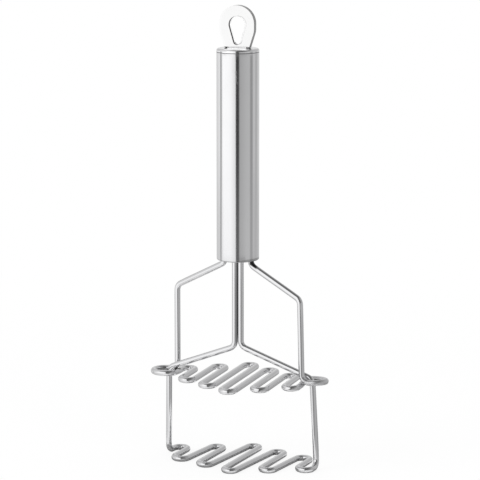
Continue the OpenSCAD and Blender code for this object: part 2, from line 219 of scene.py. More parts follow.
# Painted shade along the handle's lower edge
EDGE_SHADE_SIDE = (2, 10)
EDGE_SHADE_Z = (HANDLE_Z + 1.0, HANDLE_Z + 0.4)
EDGE_SHADE = 0.3
# By how much that painted shade is wider and darker on the right
EDGE_SHADE_WIDER = 1.0
EDGE_SHADE_DARKER = 0.12
# Painted shade under the loop's shoulders
FOOT_SHADE_X = (LEG_X - 0.2, LEG_X)
FOOT_SHADE_Y = (-1.3, -1.7)
FOOT_SHADE_Z = (FOOT_Z + 0.7, FOOT_Z + 0.5)
# A painted glow on the loop's foot
FOOT_PAINTED_GLOW_Z = (CAP_TOP_Z + 0.5, CAP_TOP_Z + 0.1)
FOOT_PAINTED_GLOW = 0.14

# Handling marks: the greys of a cloud that smudge, a scratch's width, and the grey above which it shows
SMUDGE_GREYS = (0.35, 0.75)
SCRATCH_WIDTH = 0.006
SCRATCHED_ABOVE = 0.54

# By how much marks and texture add to a surface's roughness
GRAIN_DULL = 0.16
SCRATCH_DULL = 0.12
SCUFF_DULL = 0.3
SMUDGE_DULL = 0.05
TEXTURE_DULL = 0.15

# Depths of the finest relief, in metres
LINE_DEPTH = 0.00002
FLOW_DEPTH = 0.0001
TEXTURE_DEPTH = 0.00005


# Mesh helpers

def mesh_piece(name, points, faces, faces_uv=None, sharp=40):
    """A smooth-shaded piece from points in millimetres, with sharp edges over the given angle in degrees."""
    mesh = bpy.data.meshes.new(name)
    mesh.from_pydata([Vector(p) * MM for p in points], [], faces)
    mesh.update()
    if faces_uv:
        layer = mesh.uv_layers.new(name="lay")
        flat = [uv for face in faces_uv for uv in face]
        for corner, uv in zip(layer.data, flat):
            corner.uv = uv
    mesh.shade_smooth()
    mesh.set_sharp_from_angle(angle=math.radians(sharp))
    piece = bpy.data.objects.new(name, mesh)
    bpy.context.scene.collection.objects.link(piece)
    return piece


def tidy_mesh(piece):
    """Merges doubled points and turns the faces outward."""
    work = bmesh.new()
    work.from_mesh(piece.data)
    bmesh.ops.remove_doubles(work, verts=work.verts, dist=1e-7)
    bmesh.ops.recalc_face_normals(work, faces=work.faces)
    work.to_mesh(piece.data)
    work.free()
    piece.data.update()


def runs_at(corners, i):
    """Directions of the two runs that meet at corner i, both away from it."""
    return (corners[i - 1] - corners[i]).normalized(), (corners[i + 1] - corners[i]).normalized()


def half_angle(corners, i):
    """Half the angle between the two runs that meet at corner i."""
    back, ahead = runs_at(corners, i)
    return back.angle(ahead) / 2


def bend_stations(corners, i, r):
    """Stations round the bend at corner i: point, direction, and way out from the bend's centre."""
    back, ahead = runs_at(corners, i)
    half = half_angle(corners, i)
    centre = corners[i] + (back + ahead).normalized() * r / math.sin(half)
    out = (corners[i] + back * r / math.tan(half) - centre).normalized()
    sweep = math.pi - 2 * half
    steps = max(2, math.ceil(sweep / BEND_STEP))
    made = []
    for k in range(steps + 1):
        a = sweep * k / steps
        way = out * math.cos(a) - back * math.sin(a)
        made.append((centre + way * r, -out * math.sin(a) - back * math.cos(a), way))
    return made


def wire_stations(corners, radii):
    """Stations of a wire's whole middle line, with the straight runs cut into even lengths."""
    raw = [(corners[0], (corners[1] - corners[0]).normalized(), None)]
    for i in range(1, len(corners) - 1):
        raw += bend_stations(corners, i, radii[i])
    raw.append((corners[-1], (corners[-1] - corners[-2]).normalized(), None))
    made = [raw[0]]
    for station in raw[1:]:
        last = made[-1]
        gap = (station[0] - last[0]).length
        if gap < SAME:
            continue
        if gap > 1.5 * RUN_STEP:
            cuts = math.ceil(gap / RUN_STEP)
            for k in range(1, cuts):
                made.append((last[0].lerp(station[0], k / cuts), station[1], None))
        made.append(station)
    return made


def ring_normals(stations):
    """A way across the wire at each station, carried along from the middle so that the rings don't twist."""
    middle = len(stations) // 2
    normals = [None] * len(stations)
    normals[middle] = Vector((0, 0, 1))
    for order in (range(middle + 1, len(stations)), range(middle - 1, -1, -1)):
        v = normals[middle]
        for i in order:
            t = stations[i][1]
            v = (v - t * v.dot(t)).normalized()
            normals[i] = v
    return normals


def tube_faces(rings, sides):
    """Faces along a tube whose points run round each ring in turn."""
    faces = []
    for ring in range(rings - 1):
        for k in range(sides):
            a, b = ring * sides + k, ring * sides + (k + 1) % sides
            faces.append((a, a + sides, b + sides, b))
    return faces


def bent_wire(name, corners, radii):
    """A round wire along the corners, pressed a little flat on the outside of its bends, as bent wire is."""
    sides = WIRE_SIDES
    stations = wire_stations([Vector(c) for c in corners], radii)
    normals = ring_normals(stations)
    points, lengths, travelled = [], [], 0.0
    for i, (at, along, way) in enumerate(stations):
        if i:
            travelled += (at - stations[i - 1][0]).length
        lengths.append(travelled)
        across = along.cross(normals[i])
        for k in range(sides):
            a = TAU * k / sides
            spoke = normals[i] * math.cos(a) + across * math.sin(a)
            r = WIRE_R
            if way is not None:
                r -= BEND_FLAT * max(0.0, spoke.dot(way)) ** 3
            points.append(at + spoke * r)
    faces, faces_uv = tube_faces(len(stations), sides), []
    for v0, v1 in zip(lengths, lengths[1:]):
        for k in range(sides):
            u0, u1 = k / sides, (k + 1) / sides
            faces_uv.append(((u0, v0), (u0, v1), (u1, v1), (u1, v0)))
    for ring, outward in ((0, -1), (len(stations) - 1, 1)):
        at, along = stations[ring][0], stations[ring][1] * outward
        first = len(points)
        for k in range(sides):
            points.append(at + (points[ring * sides + k] - at) * END_TAPER + along * END_BEVEL)
        for k in range(sides):
            a, b = ring * sides + k, ring * sides + (k + 1) % sides
            c, d = first + k, first + (k + 1) % sides
            faces.append((a, b, d, c) if outward < 0 else (b, a, c, d))
            faces_uv.append(((0, 0),) * 4)
        rim = tuple(range(first, first + sides))
        faces.append(rim if outward < 0 else rim[::-1])
        faces_uv.append(((0, 0),) * sides)
    return mesh_piece(name, points, faces, faces_uv)


def turned_piece(name, profile, sides):
    """A closed profile of (radius, height) points turned round the handle's axis. Its joint gets slot 1."""
    rows = len(profile)
    points = []
    for k in range(sides):
        a = TAU * k / sides
        points += [(r * math.cos(a), r * math.sin(a), z) for r, z in profile]
    lengths = [0.0]
    for (r0, z0), (r1, z1) in zip(profile, profile[1:] + profile[:1]):
        lengths.append(lengths[-1] + math.hypot(r1 - r0, z1 - z0))
    faces, faces_uv = [], []
    for k in range(sides):
        a, b = k * rows, ((k + 1) % sides) * rows
        u0, u1 = k / sides, (k + 1) / sides
        for i in range(rows):
            j = (i + 1) % rows
            starts_on_axis, ends_on_axis = profile[i][0] == 0, profile[j][0] == 0
            if starts_on_axis and ends_on_axis:
                continue
            face = [(a + i, (u0, lengths[i])), (b + i, (u1, lengths[i])),
                    (b + j, (u1, lengths[i + 1])), (a + j, (u0, lengths[i + 1]))]
            if starts_on_axis:
                face = [face[0], face[2], face[3]]
            elif ends_on_axis:
                face = [face[0], face[1], face[3]]
            faces.append(tuple(c[0] for c in face))
            faces_uv.append(tuple(c[1] for c in face))
    piece = mesh_piece(name, points, faces, faces_uv)
    tidy_mesh(piece)
    for face in piece.data.polygons:
        spots = [piece.data.vertices[i].co / MM for i in face.vertices]
        if all(abs(p.z - HANDLE_TOP_Z) < SEAM_HALF and math.hypot(p.x, p.y) > SKIRT_R for p in spots):
            face.material_index = SEAM_FACES
    return piece


def arc(centre, r, start, end, steps):
    """Points of an arc in a profile, from angle start to end in degrees."""
    made = []
    for k in range(steps + 1):
        a = math.radians(start + (end - start) * k / steps)
        made.append((centre[0] + r * math.cos(a), centre[1] + r * math.sin(a)))
    return made


def between(start, end):
    """Points of a straight flank from start to end, without its two ends."""
    return [tuple(Vector(start).lerp(Vector(end), k / FLANK_STEPS)) for k in range(1, FLANK_STEPS)]


# The two wires

def grid_corners(pitch, reaches, lean_even, lean_odd, shift, z):
    """Corners of a grid: bend i joins runs i and i + 1. Even runs lean by lean_even, odd ones by lean_odd."""
    corners = []
    for i in range(BENDS):
        y = (1 if i % 2 == 0 else -1) * reaches[i]
        for side in (0, 1):
            lean = lean_even if (i + side) % 2 == 0 else lean_odd
            corners.append(((i + side - BENDS / 2) * pitch + y * math.tan(lean) + shift, y, z))
    return corners


def grid_radii(path, first):
    """Radii at a grid's corners, from corner first of the path on: each two share one full bend."""
    points = [Vector(c) for c in path]
    radii = []
    for i in range(first, first + 2 * BENDS, 2):
        cut = sum(1 / math.tan(half_angle(points, k)) for k in (i, i + 1))
        radii += [(points[i + 1] - points[i]).length / cut] * 2
    return radii


def half_turn(corners):
    """The corners turned half round the handle's axis, which makes a right side into a left one."""
    return [(-x, -y, z) for x, y, z in corners]


def fixed_side(eye_len, eye_width, eye_z, rise, draw, shift, splay, low_lift, high_lift):
    """From the upper grid's last bend through the eye, up the upright and in over the shoulder."""
    x = BENDS / 2 * UPPER_PITCH + shift
    far = eye_width - EYE_SIDE_Y
    return [
        (x, EYE_RISE_START - far, UPPER_Z),
        (x, far, eye_z),
        (x + eye_len, far, eye_z),
        (x + eye_len - draw, -EYE_SIDE_Y, eye_z + rise[0]),
        (UPRIGHT_X + splay, -EYE_SIDE_Y, eye_z + rise[1]),
        (UPRIGHT_X, -EYE_SIDE_Y, SHOULDER_OUT_Z + low_lift),
        (ANCHOR_X, 0, SHOULDER_IN_Z + high_lift),
        (ANCHOR_X, 0, COLLAR_TOP_Z - END_BEVEL),
    ]


def fixed_side_radii(eye_width):
    """Bend radii at the corners of a fixed side."""
    return [BEND_R, EYE_CORNER_R, eye_width / 2, eye_width / 2, BEND_R, BEND_R, BEND_R, 0]


def sliding_side(foot_x, rod_set, drop):
    """From the lower grid's last bend up the side rod, along the arm and up the centre rod."""
    return [
        (foot_x, -ROD_Y, LOWER_Z),
        (ROD_X + rod_set, -ROD_Y, ARM_OUT_Z - drop),
        (CENTRE_ROD_X, 0, ARM_IN_Z - drop),
        (CENTRE_ROD_X, 0, ROD_TOP_Z - END_BEVEL),
    ]


def make_fixed_wire():
    """The wire of the upper grid, both eyes, uprights and shoulders."""
    left = fixed_side(
        EYE_LEN_LEFT, EYE_WIDTH_LEFT, EYE_Z_LEFT, EYE_RISE_LEFT, EYE_DRAW_LEFT, -UPPER_SHIFT,
        UPRIGHT_SPLAY_LEFT, LOW_LIFT_LEFT, HIGH_LIFT_LEFT,
    )
    right = fixed_side(
        EYE_LEN_RIGHT, EYE_WIDTH_RIGHT, EYE_Z_RIGHT, EYE_RISE_RIGHT, EYE_DRAW_RIGHT, UPPER_SHIFT,
        UPRIGHT_SPLAY_RIGHT, 0, 0,
    )
    grid = grid_corners(UPPER_PITCH, UPPER_REACHES, UPPER_LEAN, UPPER_LEAN, UPPER_SHIFT, UPPER_Z)
    path = half_turn(left)[::-1] + grid + right
    radii = fixed_side_radii(EYE_WIDTH_LEFT)[::-1] + grid_radii(path, len(left))
    return bent_wire("fixed_wire", path, radii + fixed_side_radii(EYE_WIDTH_RIGHT))


def make_sliding_wire():
    """The wire of the lower grid, side rods, arms and centre rods."""
    left = half_turn(sliding_side(LOWER_FOOT_LEFT, -ROD_SHIFT, ARM_DROP_LEFT))[::-1]
    right = sliding_side(LOWER_FOOT_RIGHT, ROD_SHIFT, 0)
    grid = grid_corners(LOWER_PITCH, LOWER_REACHES, LOWER_LEAN_EVEN, LOWER_LEAN_ODD, LOWER_SHIFT, LOWER_Z)
    path = left + grid + right
    side_radii = [BEND_R, BEND_R, BEND_R, 0]
    return bent_wire("sliding_wire", path, side_radii[::-1] + grid_radii(path, len(left)) + side_radii)


# The spring

def spring_height(turns):
    """Height of the spring's middle line over its foot. The first and the last turn lie closed."""
    closed = CLOSED_RISE * SPRING_WIRE
    open_turns = SPRING_TURNS - 2
    open_rise = SPRING_TOP_Z - SPRING_FOOT_Z - SPRING_WIRE - 2 * closed
    if turns < 1:
        return SPRING_WIRE / 2 + turns * closed
    if turns > open_turns + 1:
        return SPRING_WIRE / 2 + closed + open_rise + (turns - 1 - open_turns) * closed
    return SPRING_WIRE / 2 + closed + open_rise * (turns - 1) / open_turns


def make_spring_coil():
    """Compression spring with a round wire, as one tube along its turns."""
    rings = SPRING_TURNS * COIL_STEPS
    points = []
    for ring in range(rings + 1):
        turn = TAU * ring / COIL_STEPS
        z = SPRING_FOOT_Z + spring_height(ring / COIL_STEPS)
        for k in range(COIL_SIDES):
            around = TAU * k / COIL_SIDES
            out = SPRING_R + COIL_R * math.cos(around)
            points.append((out * math.cos(turn), out * math.sin(turn), z + COIL_R * math.sin(around)))
    faces = tube_faces(rings + 1, COIL_SIDES)
    faces.append(tuple(range(COIL_SIDES)))
    faces.append(tuple(reversed(range(rings * COIL_SIDES, (rings + 1) * COIL_SIDES))))
    piece = mesh_piece("spring_coil", points, faces)
    tidy_mesh(piece)
    return piece


# The handle

def make_handle_sleeve():
    """Tube with a rounded lower edge, a fine bevel at the joint to the cap, and its bore."""
    profile = [(BORE_R, HANDLE_Z + BORE_EDGE), (BORE_R + BORE_EDGE, HANDLE_Z)]
    profile += arc((HANDLE_R - HANDLE_ROUND, HANDLE_Z + HANDLE_ROUND), HANDLE_ROUND, -90, 0, RIM_STEPS)
    span = HANDLE_TOP_Z - JOINT_ROUND - HANDLE_Z - HANDLE_ROUND
    rows = range(1, SLEEVE_ROWS)
    profile += [(HANDLE_R, HANDLE_Z + HANDLE_ROUND + span * k / SLEEVE_ROWS) for k in rows]
    profile += arc((HANDLE_R - JOINT_ROUND, HANDLE_TOP_Z - JOINT_ROUND), JOINT_ROUND, 0, 90, JOINT_STEPS)
    profile += [(BORE_R, HANDLE_TOP_Z)]
    return turned_piece("handle_sleeve", profile, SLEEVE_SIDES)


def make_cap_crown():
    """Crown cap: a slightly domed top with a slot, a rounded rim, a bevel at the joint, and a skirt."""
    rim = HANDLE_R - CAP_ROUND
    profile = [
        (rim * k / CROWN_ROWS, CAP_TOP_Z - CAP_DOME * (k / CROWN_ROWS) ** 2) for k in range(CROWN_ROWS)
    ]
    profile += arc((rim, CAP_TOP_Z - CAP_ROUND - CAP_DOME), CAP_ROUND, 90, 0, RIM_STEPS)
    profile += arc((HANDLE_R - JOINT_ROUND, HANDLE_TOP_Z + JOINT_ROUND), JOINT_ROUND, 0, -90, JOINT_STEPS)
    profile += [(SKIRT_R, HANDLE_TOP_Z), (SKIRT_R, SKIRT_Z), (SKIRT_BORE_R, SKIRT_Z)]
    profile += [(SKIRT_BORE_R, CAP_FLOOR_Z), (0, CAP_FLOOR_Z)]
    crown = turned_piece("cap_crown", profile, CROWN_SIDES)
    cutter = slot_cutter()
    cut = crown.modifiers.new("slot", "BOOLEAN")
    cut.operation = "DIFFERENCE"
    cut.solver = "EXACT"
    cut.object = cutter
    apply_modifiers(crown)
    bpy.data.objects.remove(cutter)
    # The slot's walls get dark steel, as painted shade in the slot
    for face in crown.data.polygons:
        x, y, z = face.center / MM
        beside = abs(abs(y) - SLOT_WIDTH / 2) < SAME or abs(abs(x) - SLOT_LEN / 2) < SAME
        if beside and abs(y) < SLOT_WIDTH and abs(x) < SLOT_LEN and CAP_FLOOR_Z < z < CAP_TOP_Z:
            face.material_index = CAP_SLOT_FACES
    crown.data.set_sharp_from_angle(angle=math.radians(35))
    return crown


def slot_cutter():
    """Box that opens the cap's slot for the loop's legs."""
    x, y = SLOT_LEN / 2, SLOT_WIDTH / 2
    low, high = CAP_FLOOR_Z - CUT_BEYOND, CAP_TOP_Z + CUT_BEYOND
    points = [(sx * x, sy * y, z) for z in (low, high) for sx, sy in ((-1, -1), (1, -1), (1, 1), (-1, 1))]
    faces = [(3, 2, 1, 0), (4, 5, 6, 7), (0, 1, 5, 4), (1, 2, 6, 5), (2, 3, 7, 6), (3, 0, 4, 7)]
    return mesh_piece("slot_cutter", points, faces)


def apply_modifiers(piece):
    """Puts the piece's modifiers into its mesh."""
    graph = bpy.context.evaluated_depsgraph_get()
    mesh = bpy.data.meshes.new_from_object(piece.evaluated_get(graph))
    old = piece.data
    piece.modifiers.clear()
    piece.data = mesh
    bpy.data.meshes.remove(old)


# The hanging loop

def loop_contour():
    """Outer contour of the loop in X and Z: round top, straight flanks, foot and two barbed legs."""
    centre = LOOP_TOP_Z - LOOP_R
    low = centre - LOOP_SIDE
    reach = math.hypot(LOOP_FOOT, FOOT_Z - low)
    tangent = math.degrees(math.atan2(FOOT_Z - low, LOOP_FOOT) + math.acos(LOOP_R / reach))
    right = [
        (LEG_GAP, LEG_GAP_TOP_Z), (LEG_GAP, LEG_LOW_Z), (LEG_X, LEG_LOW_Z), (LEG_X, BARB_Z - BARB_LEN),
        (BARB_X, BARB_Z), (LEG_X, BARB_Z), (LEG_X, FOOT_Z), (LOOP_FOOT, FOOT_Z),
    ]
    top = arc((0, low), LOOP_R, tangent, 0, SIDE_STEPS) + arc((0, centre), LOOP_R, 0, 180, TOP_STEPS)
    top += arc((0, low), LOOP_R, 180, 180 - tangent, SIDE_STEPS)
    flank = between(right[-1], top[0])
    left = [(-x, z) for x, z in reversed(right + flank)]
    return right + flank + top + left


def hole_contour():
    """Teardrop hole. Both contours run counter-clockwise."""
    tilt = math.degrees(math.asin((HOLE_R - HOLE_LOW_R) / (HOLE_Z - HOLE_LOW_Z)))
    high = arc((0, HOLE_Z), HOLE_R, -tilt, 180 + tilt, HOLE_STEPS)
    low = arc((0, HOLE_LOW_Z), HOLE_LOW_R, 180 + tilt, 360 - tilt, HOLE_LOW_STEPS)
    return high + between(high[-1], low[0]) + low + between(low[-1], high[0])


def inset(contour, by):
    """The contour moved to its left-hand side by the given amount."""
    made = []
    count = len(contour)
    for i in range(count):
        a, b, c = (Vector(contour[(i + k) % count]) for k in (-1, 0, 1))
        before, after = (b - a).normalized(), (c - b).normalized()
        n0, n1 = Vector((-before.y, before.x)), Vector((-after.y, after.x))
        n = n0 + n1
        n = n / max(n.length_squared / 2, 0.5)
        made.append(tuple(b + n * by))
    return made


def wall_slot(key, n, start, end):
    """Material slot of a stretch of side wall in strip n, which lies between rows n and n + 1."""
    low, high = min(start[1], end[1]), max(start[1], end[1])
    if key == "hole":
        return HOLE_WALL_FACES if n in HOLE_WALL_STRIPS else LOOP_FACES
    if abs(low - FOOT_Z) < SAME and abs(high - FOOT_Z) < SAME:
        return SHOULDER_FACES
    if low >= FOOT_Z - SAME and n in LOOP_WALL_STRIPS:
        return LOOP_WALL_FACES
    return LOOP_FACES


def make_loop_plate():
    """Flat moulded loop with rounded edges, whose side walls have material slots of their own."""
    contours = {"outer": loop_contour(), "hole": hole_contour()}
    half = LOOP_THICK / 2
    rows = []
    for k in range(EDGE_STEPS + 1):
        a = math.pi / 2 * k / EDGE_STEPS
        rows.append((LOOP_EDGE * (1 - math.sin(a)), -half + LOOP_EDGE * (1 - math.cos(a))))
    rows += [(0, WALL_ROW * half)] + [(r, -y) for r, y in reversed(rows)]
    points, faces, slots = [], [], []
    starts = {}
    for key, side in (("outer", 1), ("hole", -1)):
        contour = contours[key]
        count = len(contour)
        for n, (by, y) in enumerate(rows):
            starts[key, n] = len(points)
            points += [(x, y, z) for x, z in inset(contour, side * by)]
        for n in range(len(rows) - 1):
            a, b = starts[key, n], starts[key, n + 1]
            for i in range(count):
                j = (i + 1) % count
                quad = (a + i, a + j, b + j, b + i)
                faces.append(quad if side > 0 else quad[::-1])
                slots.append(wall_slot(key, n, contour[i], contour[j]))
    for n in (0, len(rows) - 1):
        rings = [range(starts[key, n], starts[key, n] + len(contours[key])) for key in ("outer", "hole")]
        flat = [[Vector((points[i][0], points[i][2], 0)) for i in ring] for ring in rings]
        index = [*rings[0], *rings[1]]
        for tri in tessellate_polygon(flat):
            face = tuple(index[i] for i in tri)
            faces.append(face if n == 0 else face[::-1])
            slots.append(LOOP_FACES)
    piece = mesh_piece("loop_plate", points, faces, sharp=30)
    piece.data.polygons.foreach_set("material_index", slots)
    tidy_mesh(piece)
    return piece


# Node helpers

def feed(tree, socket, value):
    """Gives a socket a plain value, or a link from another node's output."""
    if isinstance(value, (int, float, tuple)):
        socket.default_value = value
    else:
        tree.links.new(value, socket)


def add(tree, kind, **values):
    """A node with its plain settings and sockets set by name."""
    node = tree.nodes.new(kind)
    for name, value in values.items():
        if hasattr(node, name):
            setattr(node, name, value)
        else:
            node.inputs[name].default_value = value
    return node


def math_node(tree, operation, *values, clamp=False):
    """Result of a Math node on numbers or other nodes' outputs."""
    node = add(tree, "ShaderNodeMath", operation=operation, use_clamp=clamp)
    for socket, value in zip(node.inputs, values):
        feed(tree, socket, value)
    return node.outputs[0]


def product(tree, value, *others):
    """All the values multiplied together."""
    for other in others:
        value = math_node(tree, "MULTIPLY", value, other)
    return value


def ease(tree, value, low, high):
    """0 up to low, 1 from high on, and smooth between. It falls instead where low is above high."""
    node = add(tree, "ShaderNodeMapRange", interpolation_type="SMOOTHSTEP")
    for name, given in (("Value", value), ("From Min", low), ("From Max", high)):
        feed(tree, node.inputs[name], given)
    return node.outputs["Result"]


def ease_mm(tree, value, low, high):
    """The same for a place in the piece's own space, with low and high in millimetres."""
    return ease(tree, value, low * MM, high * MM)


def mix_colour(tree, share, a, b):
    """Colour a where share is 0, and b where it is 1."""
    node = add(tree, "ShaderNodeMix", data_type="RGBA")
    for socket, value in ((node.inputs[0], share), (node.inputs[6], a), (node.inputs[7], b)):
        feed(tree, socket, value)
    return node.outputs[2]


def mix_shaders(tree, share, a, b):
    """Shader a where share is 0, and b where it is 1."""
    node = add(tree, "ShaderNodeMixShader")
    for socket, value in zip(node.inputs, (share, a, b)):
        feed(tree, socket, value)
    return node.outputs[0]


def noise(tree, vector, **values):
    """Outputs of a noise over the given coordinates: its grey and its colour."""
    node = add(tree, "ShaderNodeTexNoise", **values)
    feed(tree, node.inputs["Vector"], vector)
    return node.outputs


def bump(tree, shader, height, strength, distance):
    """Relief on a material's surface, from a height between 0 and 1 and its depth in metres."""
    node = add(tree, "ShaderNodeBump", Strength=strength, Distance=distance)
    feed(tree, node.inputs["Height"], height)
    feed(tree, shader.inputs["Normal"], node.outputs[0])


def places(tree, place):
    """X, Y and Z in the piece's own space."""
    split = add(tree, "ShaderNodeSeparateXYZ")
    feed(tree, split.inputs[0], place.outputs["Object"])
    return split.outputs


def grey_ramp(tree, factor, stops):
    """Colour ramp of greys, from (degrees, grey) stops between -180 and 180."""
    node = tree.nodes.new("ShaderNodeValToRGB")
    feed(tree, node.inputs[0], factor)
    ramp = node.color_ramp
    for k, (degrees, grey) in enumerate(stops):
        place = (degrees + 180) / 360
        stop = ramp.elements[k] if k < 2 else ramp.elements.new(place)
        stop.position = place
        stop.color = (grey, grey, grey, 1)
    return node.outputs[0]


def new_group(name, inputs, outputs):
    """A shader node group with named inputs (name, kind, default) and outputs (name, kind)."""
    group = bpy.data.node_groups.new(name, "ShaderNodeTree")
    for label, kind, default in inputs:
        socket = group.interface.new_socket(name=label, in_out="INPUT", socket_type=kind)
        if default is not None:
            socket.default_value = default
    for label, kind in outputs:
        group.interface.new_socket(name=label, in_out="OUTPUT", socket_type=kind)
    return group, group.nodes.new("NodeGroupInput"), group.nodes.new("NodeGroupOutput")


def place_group(tree, group, **values):
    """A shared effect placed in a material, with its inputs set by name."""
    node = add(tree, "ShaderNodeGroup", node_tree=group)
    for name, value in values.items():
        feed(tree, node.inputs[name], value)
    return node


# Effects that several materials share

def make_fine_lines():
    """Fine drawn or turned lines: a noise stretched along the work's own direction."""
    group, given, put = new_group(
        "fine_lines",
        [
            ("Vector", "NodeSocketVector", None),
            ("Fineness", "NodeSocketFloat", 1.0),
            ("Stretch", "NodeSocketFloat", 0.02),
        ],
        [("Lines", "NodeSocketFloat")],
    )
    split = add(group, "ShaderNodeSeparateXYZ")
    feed(group, split.inputs[0], given.outputs["Vector"])
    fineness = given.outputs["Fineness"]
    join = add(group, "ShaderNodeCombineXYZ")
    feed(group, join.inputs[0], product(group, split.outputs[0], fineness))
    feed(group, join.inputs[1], product(group, split.outputs[1], fineness, given.outputs["Stretch"]))
    lines = noise(group, join.outputs[0], Scale=1.0, Detail=4.0, Roughness=0.65)
    feed(group, put.inputs["Lines"], lines[0])
    return group


def make_handling_marks():
    """Faint smudges and hairline scratches from washing and handling."""
    group, given, put = new_group(
        "handling_marks",
        [("Vector", "NodeSocketVector", None), ("Size", "NodeSocketFloat", 0.02)],
        [("Smudge", "NodeSocketFloat"), ("Scratch", "NodeSocketFloat")],
    )
    join = add(group, "ShaderNodeCombineXYZ")
    for k in range(3):
        feed(group, join.inputs[k], given.outputs["Size"])
    scaled = add(group, "ShaderNodeVectorMath", operation="DIVIDE")
    feed(group, scaled.inputs[0], given.outputs["Vector"])
    feed(group, scaled.inputs[1], join.outputs[0])
    cloud = noise(group, scaled.outputs[0], Scale=1.0, Detail=5.0, Roughness=0.55)
    feed(group, put.inputs["Smudge"], ease(group, cloud[0], *SMUDGE_GREYS))
    bent = add(group, "ShaderNodeVectorMath", operation="ADD")
    feed(group, bent.inputs[0], scaled.outputs[0])
    feed(group, bent.inputs[1], cloud[1])
    cells = add(group, "ShaderNodeTexVoronoi", feature="DISTANCE_TO_EDGE", Scale=1.7, Randomness=1.0)
    feed(group, cells.inputs["Vector"], bent.outputs[0])
    line = math_node(group, "LESS_THAN", cells.outputs["Distance"], SCRATCH_WIDTH)
    some = math_node(group, "GREATER_THAN", cloud[0], SCRATCHED_ABOVE)
    feed(group, put.inputs["Scratch"], product(group, line, some))
    return group


def make_studio_turn():
    """Where a place lies in the studio. Turn runs from 0 to 1 round the object, and the front is 0.5."""
    group, given, put = new_group(
        "studio_turn", [("Vector", "NodeSocketVector", None)],
        [("Turn", "NodeSocketFloat"), ("Height", "NodeSocketFloat"), ("Distance", "NodeSocketFloat")],
    )
    front = (math.sin(CAMERA_TURN), -math.cos(CAMERA_TURN), 0)
    right = (math.cos(CAMERA_TURN), math.sin(CAMERA_TURN), 0)
    dots = []
    for way in (right, front):
        node = add(group, "ShaderNodeVectorMath", operation="DOT_PRODUCT")
        feed(group, node.inputs[0], given.outputs[0])
        node.inputs[1].default_value = way
        dots.append(node.outputs["Value"])
    angle = math_node(group, "ARCTAN2", *dots)
    feed(group, put.inputs["Turn"], math_node(group, "MULTIPLY_ADD", angle, 1 / TAU, 0.5))
    split = add(group, "ShaderNodeSeparateXYZ")
    feed(group, split.inputs[0], given.outputs[0])
    feed(group, put.inputs["Height"], split.outputs[2])
    length = add(group, "ShaderNodeVectorMath", operation="LENGTH")
    feed(group, length.inputs[0], given.outputs[0])
    feed(group, put.inputs["Distance"], length.outputs["Value"])
    return group


# Painted shade and scuffed places

def ring_distance(tree, split, centre, half):
    """0 at the middle of an eye and 1 on its wire's middle line."""
    squares = []
    for k in (0, 1):
        along = math_node(tree, "MULTIPLY_ADD", split[k], 1 / (half[k] * MM), -centre[k] / half[k])
        squares.append(product(tree, along, along))
    return math_node(tree, "ADD", *squares)


def eye_painted_shade(tree, split, centre, half, top):
    """Painted shade low on the inner side of an eye, within the ring and below the given height."""
    inner = ease(tree, ring_distance(tree, split, centre, half), *EYE_SHADE_RING)
    return product(tree, inner, ease_mm(tree, split[2], top + EYE_SHADE_FADE, top))


def wire_painted_shade(tree, place):
    """Painted shade on the fixed wire: at its right root, inside both eyes, and at the left crossing."""
    split = places(tree, place)
    slope = (SHOULDER_IN_Z - SHOULDER_OUT_Z) / (UPRIGHT_X - ANCHOR_X)
    line = math_node(tree, "MULTIPLY_ADD", split[0], slope, -(SHOULDER_IN_Z + slope * ANCHOR_X) * MM)
    above = ease_mm(tree, math_node(tree, "ADD", split[2], line), *ROOT_SHADE_ABOVE)
    near = product(tree, ease_mm(tree, split[0], *ROOT_SHADE_OUT), ease_mm(tree, split[0], *ROOT_SHADE_IN))
    shade_mask = product(tree, above, near)
    for other in (
        eye_painted_shade(tree, split, *RIGHT_EYE),
        product(tree, eye_painted_shade(tree, split, *LEFT_EYE), LEFT_EYE_SHADE),
        eye_painted_shade(tree, split, *LEFT_CROSSING),
    ):
        shade_mask = math_node(tree, "MAXIMUM", shade_mask, other)
    return shade_mask


def eye_scuff(tree, place):
    """The right eye is scuffed dull by the side rod that slides in it."""
    split = places(tree, place)
    centre, half, top = RIGHT_EYE
    on_ring = ease(tree, ring_distance(tree, split, centre, half), *SCUFF_RING)
    return product(tree, on_ring, ease_mm(tree, split[2], *(top + above for above in SCUFF_ABOVE)))


def rod_gap_painted_shade(tree, place):
    """Painted shade in the narrow gap between the two centre rods, heavier on the left rod."""
    split = places(tree, place)
    left = ease_mm(tree, split[0], *ROD_SHADE_LEFT)
    right = ease_mm(tree, split[0], *ROD_SHADE_RIGHT)
    return product(tree, left, right, ROD_SHADE, ease_mm(tree, split[2], *ROD_SHADE_Z))


def edge_painted_shade(tree, place):
    """Painted shade along the handle's lower edge, wider and darker on the right."""
    split = places(tree, place)
    side = ease_mm(tree, split[0], *EDGE_SHADE_SIDE)
    height = math_node(tree, "MULTIPLY_ADD", side, -EDGE_SHADE_WIDER * MM, split[2])
    share = math_node(tree, "MULTIPLY_ADD", side, EDGE_SHADE_DARKER, EDGE_SHADE)
    return product(tree, ease_mm(tree, height, *EDGE_SHADE_Z), share)


def foot_shade(tree, split):
    """Painted shade of the dark gap under the loop's two shoulders, at the foot of the front face."""
    aside = ease_mm(tree, math_node(tree, "ABSOLUTE", split[0]), *FOOT_SHADE_X)
    front = ease_mm(tree, split[1], *FOOT_SHADE_Y)
    return product(tree, aside, front, ease_mm(tree, split[2], *FOOT_SHADE_Z))


# Materials

def new_material(name):
    """A material, its node tree and its Principled shader."""
    material = bpy.data.materials.new(name)
    material.use_nodes = True
    tree = material.node_tree
    return material, tree, tree.nodes["Principled BSDF"]


